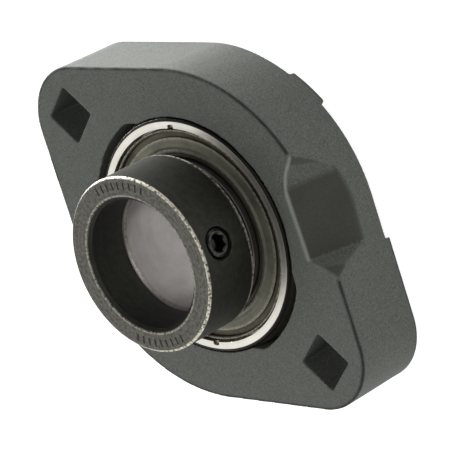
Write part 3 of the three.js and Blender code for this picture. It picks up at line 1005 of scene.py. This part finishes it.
def black_oxide():
    s = Shader("black_oxide", Metallic=1.0)
    mottle = s.noise(1.6, 5.0)
    speck = s.noise(0.35, 3.0)
    lines = s.lathe_lines(0.4)
    tone = s.blend(s.spread(mottle, 0.35, 0.65), (0.036, 0.037, 0.031), (0.045, 0.045, 0.039))
    tone = s.blend(s.spread(speck, 0.52, 0.72, 0, 0.3), tone, (0.08, 0.078, 0.068))
    end = s.spread(s.split()[2], (COLLAR_FRONT_Z - 0.06) * MM, (COLLAR_FRONT_Z - 0.03) * MM)
    face = s.blend(s.spread(s.noise(0.8, 4.0), 0.35, 0.62), (0.068, 0.066, 0.057), (0.115, 0.112, 0.097))
    tone = s.blend(end, tone, face)
    # A painted highlight line round the bore's mouth.
    mouth = ((COLLAR_BORE_RADIUS + COLLAR_BORE_CHAMFER, COLLAR_FRONT_Z, 0.5),)
    edges = (
        (COLLAR_RADIUS - COLLAR_EDGE_CHAMFER / 2, COLLAR_FRONT_Z - COLLAR_EDGE_CHAMFER / 2, 0.55),
        (COLLAR_RADIUS - COLLAR_EDGE_CHAMFER / 2, COLLAR_REAR_Z + COLLAR_EDGE_CHAMFER / 2, 1.1),
    )
    tone = edge_highlights(s, tone, mouth, (0.28, 0.265, 0.22))
    # Painted highlights along the outer chamfers, bright on the side 35 degrees round from +X and nearly as
    # dark as the oxide on the other.
    x, y, _ = s.split()
    reach_x = s.math("MULTIPLY", x, math.cos(LIT_SIDE))
    reach = s.math("ADD", reach_x, s.math("MULTIPLY", y, math.sin(LIT_SIDE)))
    lit_side_colour = s.blend(s.spread(reach, -0.02, 0.006), (0.06, 0.057, 0.05), (0.75, 0.71, 0.6))
    s.set("Base Color", edge_highlights(s, tone, edges, lit_side_colour))
    s.set("Roughness", s.spread(lines, 0.25, 0.75, 0.5, 0.62))
    s.bump(s.math("ADD", lines, s.math("MULTIPLY", speck, 1.5)), 0.014)
    return s.material


def screw_steel():
    s = Shader("screw_steel", Metallic=1.0)
    tone = s.spread(s.noise(0.8, 4.0), 0.3, 0.7)
    s.set("Base Color", s.blend(tone, (0.03, 0.03, 0.028), (0.075, 0.073, 0.068)))
    s.set("Roughness", s.spread(s.noise(0.3), 0.3, 0.7, 0.3, 0.46))
    s.bump(s.noise(0.25, 2.0), 0.006)
    return s.material


def floor_paper():
    s = Shader("floor_paper")
    s.set("Base Color", s.blend(s.noise(400, 2.0), (0.4, 0.4, 0.4), (0.42, 0.42, 0.42)))
    s.set("Roughness", 0.9)
    s.set("Specular IOR Level", 0.1)
    s.set("Emission Color", (1, 1, 1, 1))
    s.set("Emission Strength", FLOOR_GLOW)
    return s.material


# The scene


def dress(piece, material, slot, body, *nodes):
    piece.data.materials.append(material)
    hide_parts(*nodes)
    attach(piece, body)


def store(piece, name, values):
    attribute = piece.data.attributes.new(name, "FLOAT", "POINT")
    attribute.data.foreach_set("value", np.clip(values, 0, 1).astype(np.float32))


def mark_casting(piece):
    """Stores, from 0 to 1, painted shade along the outer edges, a painted highlight along the pocket's rim,
    and painted shade on the pocket's floor and its end-wall facets.
    """
    points = np.zeros(len(piece.data.vertices) * 3)
    piece.data.vertices.foreach_get("co", points)
    x, y, z = points.reshape(-1, 3).T / MM
    front = FLANGE_THICKNESS - z
    outline = flange_outline(x, y)
    hollow = pocket(x, y, z)
    floor, walls, facets = pocket_planes(x, y, z)
    # Painted shade: a dark line along the front face's outer edge and along the flank's edges.
    on_face = 2.1 + outline / FACE_EDGE_SHADE - np.abs(front) * 3
    on_flank = 2.0 - np.minimum(np.hypot(outline, front) * 1.3, np.hypot(outline, z)) / FLANK_EDGE_SHADE
    store(piece, "edge", np.where(hollow > 0.9, np.maximum(on_face, on_flank), 0))
    # Painted highlight along the pocket's rim, weaker beyond its second end wall.
    fade = np.where(walls[1] < 0, np.clip(1 - walls[1] / 2, LEAST_RIM_HIGHLIGHT, 1), LEAST_RIM_HIGHLIGHT)
    store(piece, "rim", (1.5 - np.hypot(front, hollow) / RIM_HIGHLIGHT) * fade)
    # Painted shade on the pocket's floor and on the outer facet of each end wall.
    on_floor = (1 - np.abs(floor) / FLOOR_SHADE) * (np.maximum(walls[0], walls[1]) < -0.3)
    facet = np.where(walls[0] > walls[1], facets[0], facets[1])
    on_facet = (np.abs(hollow) < 0.3) * (floor < -0.5) * facet * 3
    store(piece, "hollow", np.maximum(on_floor, np.clip(on_facet, 0, FACET_SHADE)))


def build_insert():
    dress(make_outer_ring(), ring_steel(), "ground_ring_steel", "outer_ring_unit", "outer_ring")
    dress(make_inner_ring(), bore_steel(), "bore_steel", "inner_ring_unit", "inner_ring")
    pressed = pressed_steel()
    rubber = seal_rubber()
    flinger = flinger_steel()
    for end in ("front", "rear"):
        back = end == "rear"
        shroud = turned(f"{end}_shroud_pressing", filleted(SHROUD), SEAT_Z, back)
        dress(shroud, pressed, "pressed_steel", "outer_ring_unit", f"{end}_seal_shroud")
        lip = turned(f"{end}_rubber_lip", filleted(LIP), SEAT_Z, back)
        dress(lip, rubber, "seal_rubber", "outer_ring_unit", f"{end}_seal_lip")
        disc = turned(f"{end}_flinger_pressing", filleted(FLINGER), SEAT_Z, back)
        dress(disc, flinger, "flinger_steel", "inner_ring_unit", f"{end}_flinger")


def build_ball_set():
    cage = cage_steel()
    polished = ball_steel()
    dress(make_cage("cage_front_pressing", True), cage, "cage_steel", "cage", "cage_front")
    dress(make_cage("cage_rear_pressing", False), cage, "cage_steel", "cage", "cage_rear")
    for i in range(BALL_COUNT):
        angle = 2 * math.pi * i / BALL_COUNT
        number = i + 1
        ball = make_ball(f"lapped_ball_{number}", angle)
        dress(ball, polished, "ball_steel", f"ball_{number}", f"ball_{number}")
        rivet = make_rivet(f"domed_rivet_{number}", angle + math.pi / BALL_COUNT)
        dress(rivet, cage, "cage_steel", "cage", f"cage_rivet_{number}")


def add_floor():
    bpy.ops.mesh.primitive_plane_add(size=FLOOR_SIZE, location=(0, 0, -FLOOR_DROP))
    floor = bpy.context.object
    floor.name = "floor"
    floor.data.materials.append(floor_paper())


def add_world():
    world = bpy.data.worlds.new("studio")
    world.use_nodes = True
    background = world.node_tree.nodes["Background"]
    background.inputs["Color"].default_value = (1, 1, 1, 1)
    background.inputs["Strength"].default_value = WORLD_STRENGTH
    bpy.context.scene.world = world


def add_softbox(name, place, size, radiance):
    """A rectangular area light that faces the object. Its power follows from its size and radiance."""
    light = bpy.data.lights.new(name, "AREA")
    light.shape = "RECTANGLE"
    light.size, light.size_y = size
    light.energy = radiance * math.pi * size[0] * size[1]
    lamp = bpy.data.objects.new(name, light)
    lamp.location = place
    towards = lamp.location - CAMERA_TARGET
    lamp.rotation_euler = towards.to_track_quat("Z", "Y").to_euler()
    lamp.visible_camera = False
    bpy.context.scene.collection.objects.link(lamp)


def add_camera():
    """The camera looks at the target from its azimuth and elevation, rolled about its own line of sight."""
    level = math.cos(CAMERA_ELEVATION)
    x = level * math.cos(CAMERA_AZIMUTH)
    y = level * math.sin(CAMERA_AZIMUTH)
    back = Vector((x, y, math.sin(CAMERA_ELEVATION)))
    up = (Vector((0, 0, 1)) - back * back.z).normalized()
    right = up.cross(back)
    rolled_up = up * math.cos(CAMERA_ROLL) + right * math.sin(CAMERA_ROLL)
    rolled_right = rolled_up.cross(back)
    camera = bpy.data.cameras.new("camera")
    camera.lens = CAMERA_LENS
    camera.clip_start = 0.05
    camera.clip_end = 20
    eye = bpy.data.objects.new("camera", camera)
    turn = Matrix((rolled_right, rolled_up, back)).transposed().to_4x4()
    eye.matrix_world = Matrix.Translation(CAMERA_TARGET + back * CAMERA_DISTANCE) @ turn
    bpy.context.scene.collection.objects.link(eye)
    bpy.context.scene.camera = eye


def build_studio():
    add_camera()
    add_floor()
    add_world()
    for softbox in SOFTBOXES:
        add_softbox(*softbox)
    bpy.context.scene.view_settings.view_transform = "Standard"


def build_bearing():
    housing = make_housing()
    mark_casting(housing)
    dress(housing, cast_paint(), "cast_housing", "housing", "flange_housing")
    build_insert()
    build_ball_set()
    dress(make_collar(), black_oxide(), "black_oxide_steel", "locking_collar", "locking_collar")
    dress(make_screw(), screw_steel(), "screw_steel", "set_screw", "set_screw")


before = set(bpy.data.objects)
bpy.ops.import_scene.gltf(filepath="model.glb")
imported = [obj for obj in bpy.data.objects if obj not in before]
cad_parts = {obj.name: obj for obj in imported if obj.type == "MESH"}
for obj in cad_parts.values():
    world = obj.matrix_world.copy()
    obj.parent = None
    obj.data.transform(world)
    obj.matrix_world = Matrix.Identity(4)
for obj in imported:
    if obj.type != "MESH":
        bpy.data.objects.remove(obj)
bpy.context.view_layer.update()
build_studio()
build_bearing()
